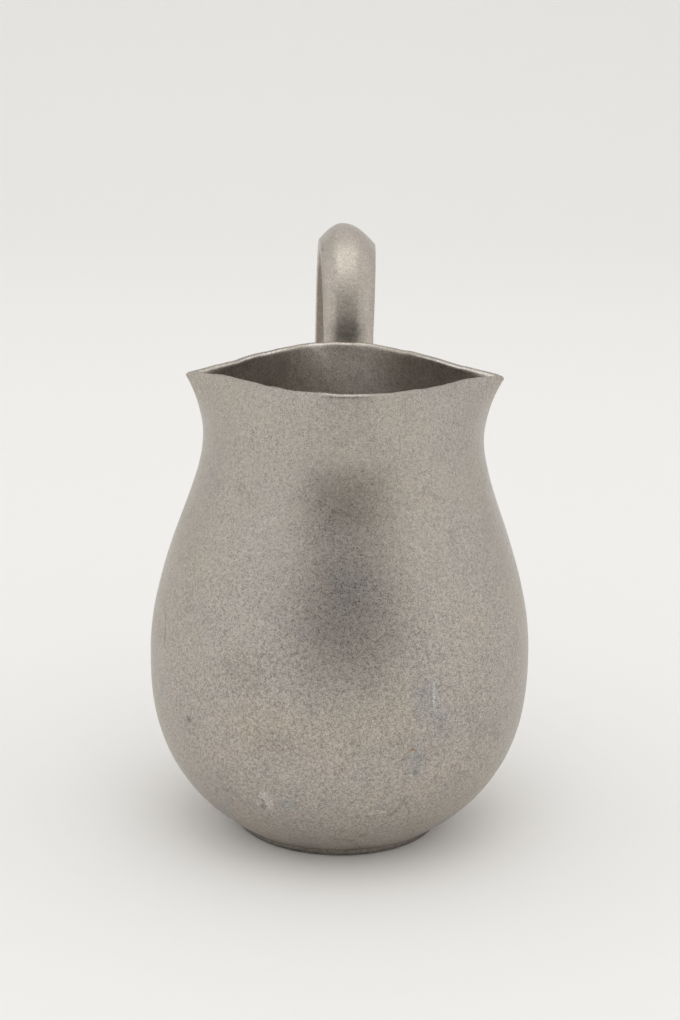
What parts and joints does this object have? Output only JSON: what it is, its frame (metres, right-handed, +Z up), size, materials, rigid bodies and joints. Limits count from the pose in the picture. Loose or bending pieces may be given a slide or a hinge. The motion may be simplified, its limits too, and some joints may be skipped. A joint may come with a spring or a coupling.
{
  "type": "cream jug",
  "caption": "Small pear-shaped metal cream jug with a pinched mouth drawn to a pouring lip on each side and a loop handle rising above the rim at the back.",
  "frame": {"origin": "centre of the flat resting face under the base, on the body's axis", "axes": "+Z up, +Y towards the handle at the back, the pouring lips point along -X and +X"},
  "size_m": [0.0764, 0.1038, 0.1162],
  "materials": {
    "satin_pewter": "worn satin, fine speckle, soft tarnish blotches",
    "handle_pewter": "worn satin",
    "soft_solder": "dull satin"
  },
  "bodies": {
    "root": {"upper_body": "satin_pewter", "lower_body": "satin_pewter", "belly_solder_seam": "soft_solder", "base_disc": "satin_pewter", "base_solder_fillet": "soft_solder", "handle_outer_shell": "handle_pewter", "handle_inner_strip": "handle_pewter", "lower_handle_solder": "soft_solder", "upper_handle_solder": "soft_solder"}
  },
  "joints": []
}
